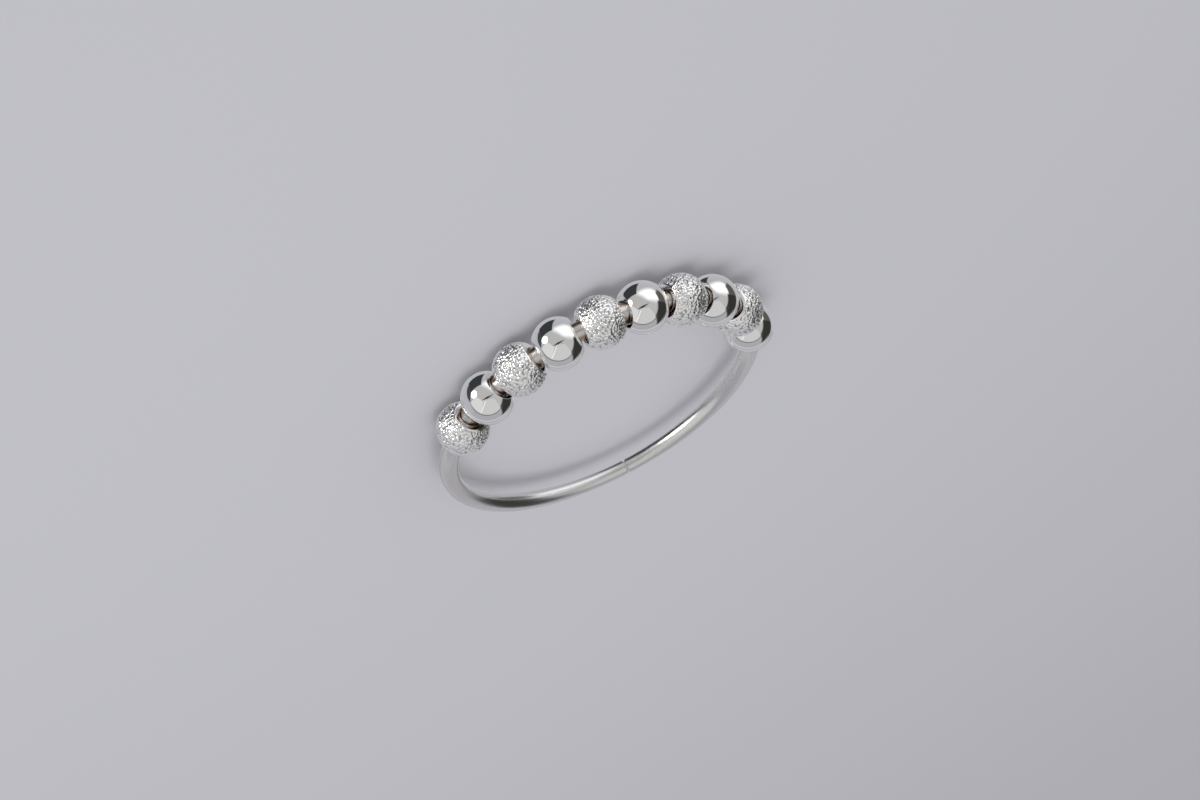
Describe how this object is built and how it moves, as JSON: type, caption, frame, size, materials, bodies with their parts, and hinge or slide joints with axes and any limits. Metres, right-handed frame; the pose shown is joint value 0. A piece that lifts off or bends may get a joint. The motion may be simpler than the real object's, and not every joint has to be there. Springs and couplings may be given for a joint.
{
  "type": "spinner ring",
  "caption": "Slim round-wire finger ring with a half row of small drilled beads, frosted and polished in turn, that spin on the wire.",
  "frame": {"origin": "Centre of the wire loop, at the middle of the wire's thickness. The beads rest on the plane z = -1.5 mm.", "axes": "+Z along the ring's axis, so the ring lies on its side. The bead row is centred on -Y, with its first bead towards +X."},
  "size_m": [0.0212, 0.0211, 0.003],
  "materials": {
    "wire": "polished silver",
    "polished_beads": "mirror-polished silver",
    "stardust_beads": "bright silver with a fine raised grain"
  },
  "bodies": {
    "band": {"shank": "wire"},
    "bead_1": {"stardust_bead_1": "stardust_beads"},
    "bead_2": {"polished_bead_2": "polished_beads"},
    "bead_3": {"stardust_bead_3": "stardust_beads"},
    "bead_4": {"polished_bead_4": "polished_beads"},
    "bead_5": {"stardust_bead_5": "stardust_beads"},
    "bead_6": {"polished_bead_6": "polished_beads"},
    "bead_7": {"stardust_bead_7": "stardust_beads"},
    "bead_8": {"polished_bead_8": "polished_beads"},
    "bead_9": {"stardust_bead_9": "stardust_beads"},
    "bead_10": {"polished_bead_10": "polished_beads"}
  },
  "joints": [
    {"name": "spin_1", "type": "hinge", "parent": "band", "child": "bead_1", "pos_m": [0.00906, -0.00296, 0], "axis": [0.3106, 0.9506, 0], "continuous": true},
    {"name": "spin_2", "type": "hinge", "parent": "band", "child": "bead_2", "pos_m": [0.00782, -0.00545, 0], "axis": [0.572, 0.8202, 0], "continuous": true},
    {"name": "spin_3", "type": "hinge", "parent": "band", "child": "bead_3", "pos_m": [0.00606, -0.00736, 0], "axis": [0.7716, 0.6361, 0], "continuous": true},
    {"name": "spin_4", "type": "hinge", "parent": "band", "child": "bead_4", "pos_m": [0.00386, -0.00872, 0], "axis": [0.9143, 0.405, 0], "continuous": true},
    {"name": "spin_5", "type": "hinge", "parent": "band", "child": "bead_5", "pos_m": [0.00137, -0.00943, 0], "axis": [0.9896, 0.144, 0], "continuous": true},
    {"name": "spin_6", "type": "hinge", "parent": "band", "child": "bead_6", "pos_m": [-0.00122, -0.00946, 0], "axis": [0.9918, -0.1276, 0], "continuous": true},
    {"name": "spin_7", "type": "hinge", "parent": "band", "child": "bead_7", "pos_m": [-0.00373, -0.00877, 0], "axis": [0.9201, -0.3917, 0], "continuous": true},
    {"name": "spin_8", "type": "hinge", "parent": "band", "child": "bead_8", "pos_m": [-0.00596, -0.00744, 0], "axis": [0.7808, -0.6248, 0], "continuous": true},
    {"name": "spin_9", "type": "hinge", "parent": "band", "child": "bead_9", "pos_m": [-0.0079, -0.00534, 0], "axis": [0.5601, -0.8285, 0], "continuous": true},
    {"name": "spin_10", "type": "hinge", "parent": "band", "child": "bead_10", "pos_m": [-0.00906, -0.00296, 0], "axis": [0.3106, -0.9506, 0], "continuous": true}
  ]
}
